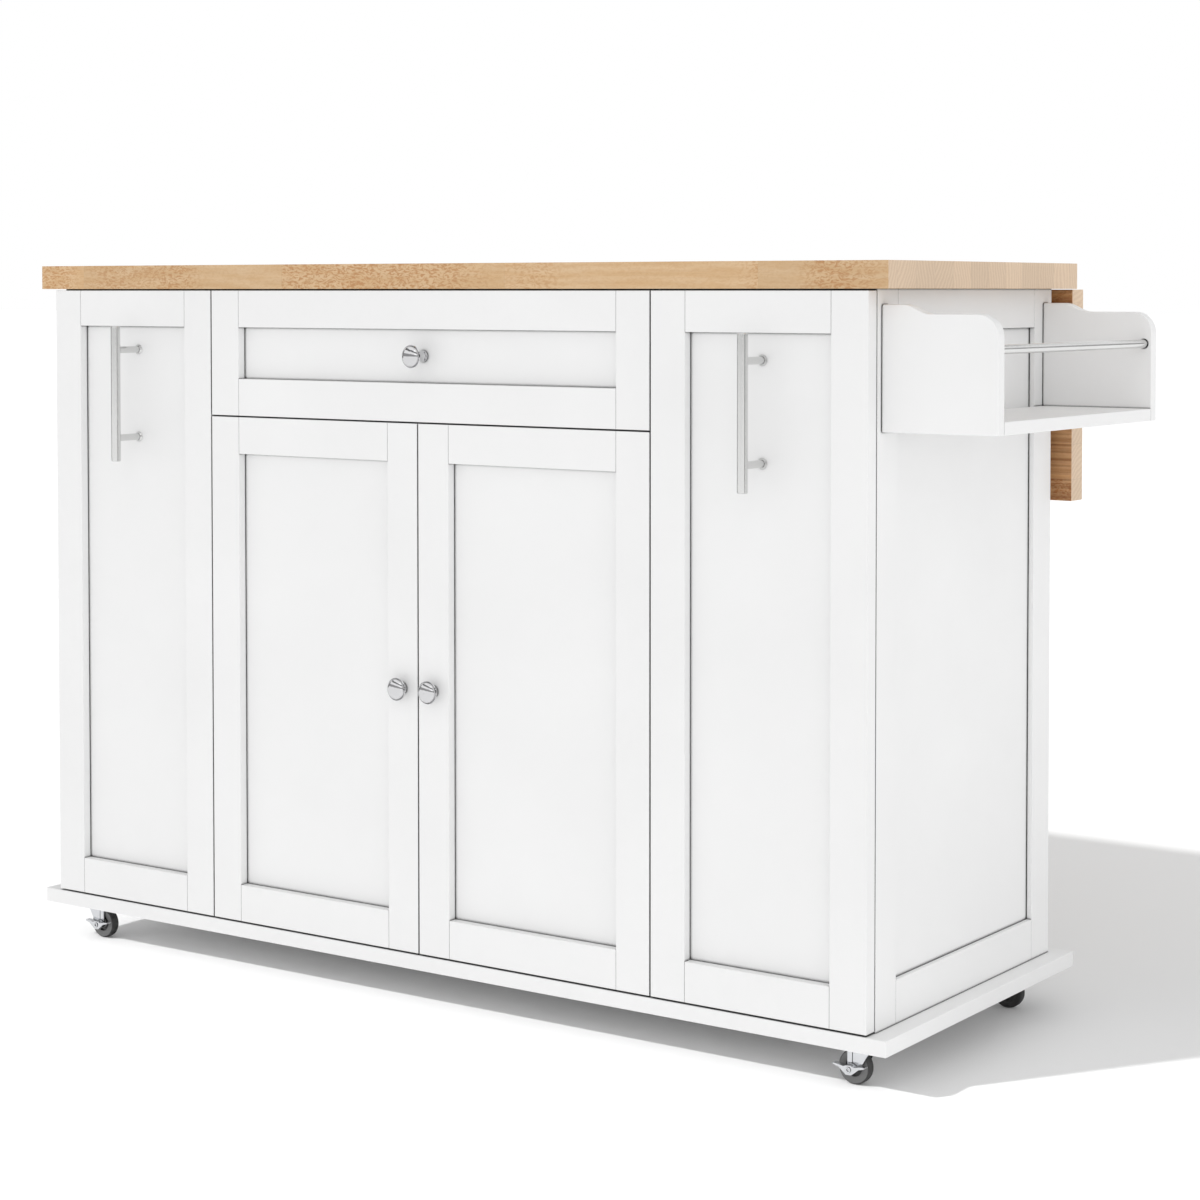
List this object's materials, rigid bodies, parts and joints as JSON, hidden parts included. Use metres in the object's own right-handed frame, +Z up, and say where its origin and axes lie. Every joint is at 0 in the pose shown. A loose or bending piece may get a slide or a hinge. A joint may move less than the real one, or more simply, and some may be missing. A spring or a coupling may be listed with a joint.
{
  "type": "kitchen island",
  "caption": "White rolling kitchen island with a wood worktop, drop leaf, shaker doors, drawer, pull-outs and a side rack with a towel bar.",
  "frame": {"origin": "on the floor, under the centre of the overall outline at rest", "axes": "+X to the rack side, -Y to the front with the drawer, doors and pull-outs, +Z up"},
  "size_m": [1.449, 0.5528, 0.935],
  "materials": {
    "butcher_block": "oiled, edge-glued staves",
    "white_board": "white satin lacquer",
    "satin": "satin nickel",
    "zinc": "bright zinc",
    "polished": "polished",
    "wheel": "matte"
  },
  "bodies": {
    "carcass": {"worktop": "butcher_block", "base_board": "white_board", "side_frames": "white_board", "side_infills": "white_board", "partitions": "white_board", "back_panels": "white_board", "stretchers": "white_board", "drawer_divider": "white_board", "centre_shelf": "white_board", "shelf_pins": "zinc", "rack_boards": "white_board", "towel_bar": "satin", "slide_runners": "zinc", "slide_packers": "white_board", "hinge_arms": "zinc", "leaf_hinge_plates": "zinc", "stay_feet": "zinc", "caster_plates": "zinc"},
    "leaf": {"drop_leaf": "butcher_block", "leaf_hinge_flaps": "zinc", "stay_heads": "zinc"},
    "stay_arm_left": {"stay_arm_left": "zinc"},
    "stay_link_left": {"stay_link_left": "zinc"},
    "stay_arm_right": {"stay_arm_right": "zinc"},
    "stay_link_right": {"stay_link_right": "zinc"},
    "door_left": {"door_left_frame": "white_board", "door_left_infill": "white_board", "door_left_knob": "polished", "door_left_cups": "zinc"},
    "door_right": {"door_right_frame": "white_board", "door_right_infill": "white_board", "door_right_knob": "polished", "door_right_cups": "zinc"},
    "drawer": {"drawer_frame": "white_board", "drawer_infill": "white_board", "drawer_knob": "polished", "drawer_box": "white_board", "drawer_slides": "zinc"},
    "pullout_left": {"pullout_left_frame": "white_board", "pullout_left_infill": "white_board", "pullout_left_handle": "satin", "pullout_left_trays": "white_board", "pullout_left_guards": "polished", "pullout_left_slides": "zinc"},
    "pullout_right": {"pullout_right_frame": "white_board", "pullout_right_infill": "white_board", "pullout_right_handle": "satin", "pullout_right_trays": "white_board", "pullout_right_guards": "polished", "pullout_right_slides": "zinc"},
    "caster_front_left": {"fork_front_left": "zinc"},
    "wheel_front_left": {"wheel_front_left": "wheel"},
    "caster_front_right": {"fork_front_right": "zinc"},
    "wheel_front_right": {"wheel_front_right": "wheel"},
    "caster_rear_left": {"fork_rear_left": "zinc"},
    "wheel_rear_left": {"wheel_rear_left": "wheel"},
    "caster_rear_right": {"fork_rear_right": "zinc"},
    "wheel_rear_right": {"wheel_rear_right": "wheel"},
    "brake_left": {"brake_left": "zinc"},
    "brake_right": {"brake_right": "zinc"}
  },
  "joints": [
    {"name": "drawer_slide", "type": "slide", "parent": "carcass", "child": "drawer", "axis": [0, -1, 0], "range_m": [0, 0.3]},
    {"name": "pullout_left_slide", "type": "slide", "parent": "carcass", "child": "pullout_left", "axis": [0, -1, 0], "range_m": [0, 0.3]},
    {"name": "pullout_right_slide", "type": "slide", "parent": "carcass", "child": "pullout_right", "axis": [0, -1, 0], "range_m": [0, 0.3]},
    {"name": "door_left_hinge", "type": "hinge", "parent": "carcass", "child": "door_left", "pos_m": [-0.4071, -0.24013, 0.404], "axis": [0, 0, -1], "range_deg": [0, 90]},
    {"name": "door_right_hinge", "type": "hinge", "parent": "carcass", "child": "door_right", "pos_m": [0.2881, -0.24013, 0.404], "axis": [0, 0, 1], "range_deg": [0, 90]},
    {"name": "leaf_fold", "type": "hinge", "parent": "carcass", "child": "leaf", "pos_m": [-0.0595, 0.24447, 0.9031], "axis": [1, 0, 0], "range_deg": [0, 90]},
    {"name": "stay_arm_left_turn", "type": "hinge", "parent": "carcass", "child": "stay_arm_left", "pos_m": [-0.4925, 0.23417, 0.7525], "axis": [1, 0, 0], "range_deg": [0, 135]},
    {"name": "stay_link_left_turn", "type": "hinge", "parent": "leaf", "child": "stay_link_left", "pos_m": [-0.4985, 0.23417, 0.7731], "axis": [1, 0, 0], "range_deg": [-135, 0]},
    {"name": "stay_arm_right_turn", "type": "hinge", "parent": "carcass", "child": "stay_arm_right", "pos_m": [0.3735, 0.23417, 0.7525], "axis": [1, 0, 0], "range_deg": [0, 135]},
    {"name": "stay_link_right_turn", "type": "hinge", "parent": "leaf", "child": "stay_link_right", "pos_m": [0.3795, 0.23417, 0.7731], "axis": [1, 0, 0], "range_deg": [-135, 0]},
    {"name": "swivel_front_left", "type": "hinge", "parent": "carcass", "child": "caster_front_left", "pos_m": [-0.6715, -0.19253, 0.044], "axis": [0, 0, 1], "continuous": true},
    {"name": "roll_front_left", "type": "hinge", "parent": "caster_front_left", "child": "wheel_front_left", "pos_m": [-0.6595, -0.19253, 0.02], "axis": [0, 1, 0], "continuous": true},
    {"name": "swivel_front_right", "type": "hinge", "parent": "carcass", "child": "caster_front_right", "pos_m": [0.5525, -0.19253, 0.044], "axis": [0, 0, 1], "continuous": true},
    {"name": "roll_front_right", "type": "hinge", "parent": "caster_front_right", "child": "wheel_front_right", "pos_m": [0.5405, -0.19253, 0.02], "axis": [0, 1, 0], "continuous": true},
    {"name": "swivel_rear_left", "type": "hinge", "parent": "carcass", "child": "caster_rear_left", "pos_m": [-0.6715, 0.19548, 0.044], "axis": [0, 0, 1], "continuous": true},
    {"name": "roll_rear_left", "type": "hinge", "parent": "caster_rear_left", "child": "wheel_rear_left", "pos_m": [-0.6595, 0.19548, 0.02], "axis": [0, 1, 0], "continuous": true},
    {"name": "swivel_rear_right", "type": "hinge", "parent": "carcass", "child": "caster_rear_right", "pos_m": [0.5525, 0.19548, 0.044], "axis": [0, 0, 1], "continuous": true},
    {"name": "roll_rear_right", "type": "hinge", "parent": "caster_rear_right", "child": "wheel_rear_right", "pos_m": [0.5405, 0.19548, 0.02], "axis": [0, 1, 0], "continuous": true},
    {"name": "brake_left_press", "type": "hinge", "parent": "caster_front_left", "child": "brake_left", "pos_m": [-0.6595, -0.19253, 0.02], "axis": [0, -1, 0], "range_deg": [0, 12]},
    {"name": "brake_right_press", "type": "hinge", "parent": "caster_front_right", "child": "brake_right", "pos_m": [0.5405, -0.19253, 0.02], "axis": [0, 1, 0], "range_deg": [0, 12]}
  ],
  "couplings": [
    {"joint": "stay_arm_left_turn", "follows": "leaf_fold", "ratio": 1.5},
    {"joint": "stay_link_left_turn", "follows": "leaf_fold", "ratio": -1.5},
    {"joint": "stay_arm_right_turn", "follows": "leaf_fold", "ratio": 1.5},
    {"joint": "stay_link_right_turn", "follows": "leaf_fold", "ratio": -1.5}
  ]
}
